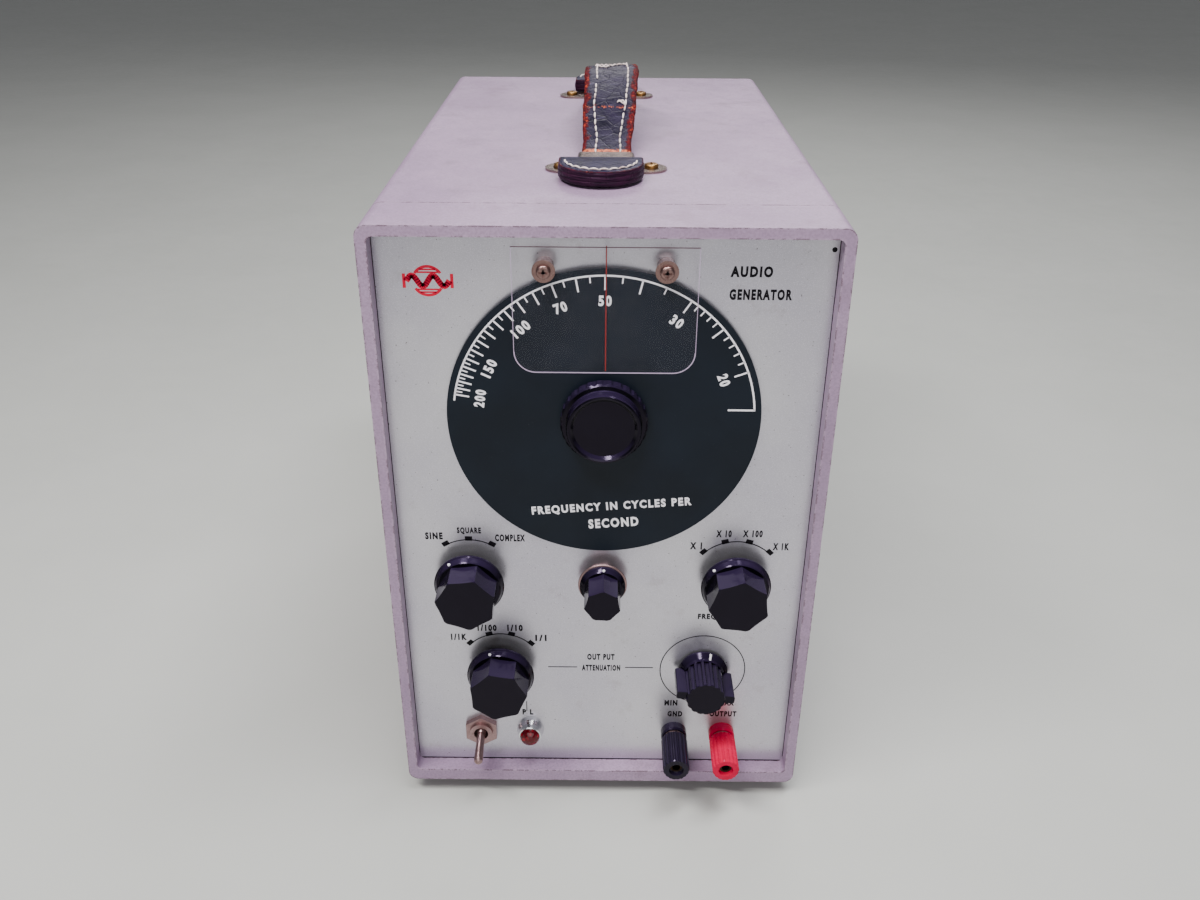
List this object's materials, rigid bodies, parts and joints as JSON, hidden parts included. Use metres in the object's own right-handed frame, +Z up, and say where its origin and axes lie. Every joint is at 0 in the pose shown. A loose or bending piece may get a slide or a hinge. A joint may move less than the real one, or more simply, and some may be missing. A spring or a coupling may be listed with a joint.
{
  "type": "audio signal generator",
  "caption": "Bench audio generator: tall steel cabinet with a large tuning dial, selector knobs, output posts and a leather strap handle.",
  "frame": {"origin": "under the middle of the object's bounding box, on the surface that the rubber feet stand on", "axes": "+Z up, the front panel faces -Y, +X to the right as seen from the front"},
  "size_m": [0.2, 0.3748, 0.3368],
  "materials": {
    "case_paint": "hard mauve-grey enamel, satin, chipped at the edges",
    "panel_metal": "silver-grey sprayed enamel, satin, faintly speckled",
    "zinc_plate": "passivated zinc plate, satin",
    "nickel_plate": "nickel plate, warm and slightly tarnished",
    "chrome_plate": "polished chrome plate",
    "dial_black": "black anodised sheet, satin",
    "knob_black": "moulded phenolic, glossy",
    "post_black": "moulded phenolic, glossy",
    "post_red": "moulded red phenolic, glossy",
    "clear_acrylic": "clear acrylic sheet, polished edges",
    "red_lens": "deep red pressed glass",
    "brass_turned": "turned brass",
    "aluminium_vane": "plain aluminium",
    "black_rubber": "moulded black rubber",
    "leather_strap": "slate-grey leather, worn to rust brown at the edges",
    "phenolic_board": "brown phenolic laminate",
    "lamination_steel": "varnished steel laminations",
    "winding_paper": "varnished winding with paper cover",
    "tube_glass": "clear glass with a silvered top",
    "steel_plain": "plain turned steel"
  },
  "bodies": {
    "cabinet": {"cabinet_shell": "case_paint", "front_frame": "case_paint", "rear_cover": "case_paint", "rear_cover_screws": "nickel_plate", "rubber_feet": "black_rubber", "foot_screws": "zinc_plate", "front_panel": "panel_metal", "chassis": "zinc_plate", "tuning_bracket": "zinc_plate", "capacitor_frame": "zinc_plate", "capacitor_stator": "aluminium_vane", "tube_sockets": "phenolic_board", "vacuum_tubes": "tube_glass", "transformer_core": "lamination_steel", "transformer_coil": "winding_paper", "filter_capacitor": "aluminium_vane", "fuse_holder": "knob_black", "cord_grommet": "black_rubber", "shaft_bushes": "brass_turned", "cursor_plate": "clear_acrylic", "cursor_spacers": "nickel_plate", "cursor_screws": "nickel_plate", "waveform_switch": "phenolic_board", "range_switch": "phenolic_board", "attenuator_switch": "phenolic_board", "level_potentiometer": "phenolic_board", "bushing_nuts": "nickel_plate", "toggle_switch": "nickel_plate", "toggle_nut": "nickel_plate", "lamp_bezel": "chrome_plate", "lamp_jewel": "red_lens", "post_studs": "brass_turned", "ground_post_base": "post_black", "output_post_base": "post_red", "handle_brackets": "nickel_plate", "handle_screws": "brass_turned", "handle_strap": "leather_strap"},
    "dial": {"dial_disc": "dial_black", "tuning_knob": "knob_black", "tuning_shaft": "steel_plain", "drive_disc": "steel_plain", "capacitor_rotor": "aluminium_vane"},
    "vernier": {"fine_tuning_knob": "knob_black", "vernier_shaft": "steel_plain", "vernier_roller": "black_rubber"},
    "waveform_selector": {"waveform_knob": "knob_black", "waveform_shaft": "steel_plain"},
    "range_selector": {"range_knob": "knob_black", "range_shaft": "steel_plain"},
    "attenuator_selector": {"attenuator_knob": "knob_black", "attenuator_shaft": "steel_plain"},
    "level_control": {"level_knob": "knob_black", "level_shaft": "steel_plain"},
    "power_lever": {"toggle_lever": "nickel_plate"},
    "ground_washer": {"ground_post_washer": "nickel_plate"},
    "ground_cap": {"ground_post_cap": "post_black"},
    "output_washer": {"output_post_washer": "nickel_plate"},
    "output_cap": {"output_post_cap": "post_red"},
    "front_tab": {"front_strap_tab": "leather_strap"},
    "rear_tab": {"rear_strap_tab": "leather_strap"}
  },
  "joints": [
    {"name": "dial_turn", "type": "hinge", "parent": "cabinet", "child": "dial", "pos_m": [0, -0.1599, 0.2174], "axis": [0, -1, 0], "range_deg": [-82, 86]},
    {"name": "fine_tuning_turn", "type": "hinge", "parent": "cabinet", "child": "vernier", "pos_m": [0, -0.1599, 0.1313], "axis": [0, -1, 0], "range_deg": [-586, 559]},
    {"name": "waveform_select", "type": "hinge", "parent": "cabinet", "child": "waveform_selector", "pos_m": [-0.0628, -0.1599, 0.1313], "axis": [0, -1, 0], "range_deg": [-60, 0]},
    {"name": "range_select", "type": "hinge", "parent": "cabinet", "child": "range_selector", "pos_m": [0.0628, -0.1599, 0.1313], "axis": [0, -1, 0], "range_deg": [-90, 0]},
    {"name": "attenuator_select", "type": "hinge", "parent": "cabinet", "child": "attenuator_selector", "pos_m": [-0.05, -0.1599, 0.077], "axis": [0, -1, 0], "range_deg": [-60, 30]},
    {"name": "level_turn", "type": "hinge", "parent": "cabinet", "child": "level_control", "pos_m": [0.0503, -0.1599, 0.0763], "axis": [0, -1, 0], "range_deg": [-133, 167]},
    {"name": "power_flip", "type": "hinge", "parent": "cabinet", "child": "power_lever", "pos_m": [-0.0618, -0.1623, 0.0366], "axis": [-1, 0, 0], "range_deg": [0, 26]},
    {"name": "ground_cap_lift", "type": "slide", "parent": "cabinet", "child": "ground_washer", "axis": [0, -1, 0], "range_m": [0, 0.0035]},
    {"name": "ground_cap_turn", "type": "hinge", "parent": "ground_washer", "child": "ground_cap", "pos_m": [0.0374, -0.1599, 0.0353], "axis": [0, -1, 0], "range_deg": [0, 1801]},
    {"name": "output_cap_lift", "type": "slide", "parent": "cabinet", "child": "output_washer", "axis": [0, -1, 0], "range_m": [0, 0.0035]},
    {"name": "output_cap_turn", "type": "hinge", "parent": "output_washer", "child": "output_cap", "pos_m": [0.062, -0.1599, 0.0353], "axis": [0, -1, 0], "range_deg": [0, 1801]},
    {"name": "handle_front_slide", "type": "slide", "parent": "cabinet", "child": "front_tab", "axis": [0, -1, 0], "range_m": [0, 0.005], "deforming": ["handle_strap"]},
    {"name": "handle_rear_slide", "type": "slide", "parent": "cabinet", "child": "rear_tab", "axis": [0, 1, 0], "range_m": [0, 0.005]}
  ],
  "couplings": [
    {"joint": "fine_tuning_turn", "follows": "dial_turn", "ratio": -6.7935},
    {"joint": "ground_cap_turn", "follows": "ground_cap_lift", "rad_per_m": 8976},
    {"joint": "output_cap_turn", "follows": "output_cap_lift", "rad_per_m": 8976},
    {"joint": "handle_rear_slide", "follows": "handle_front_slide", "ratio": 1}
  ]
}
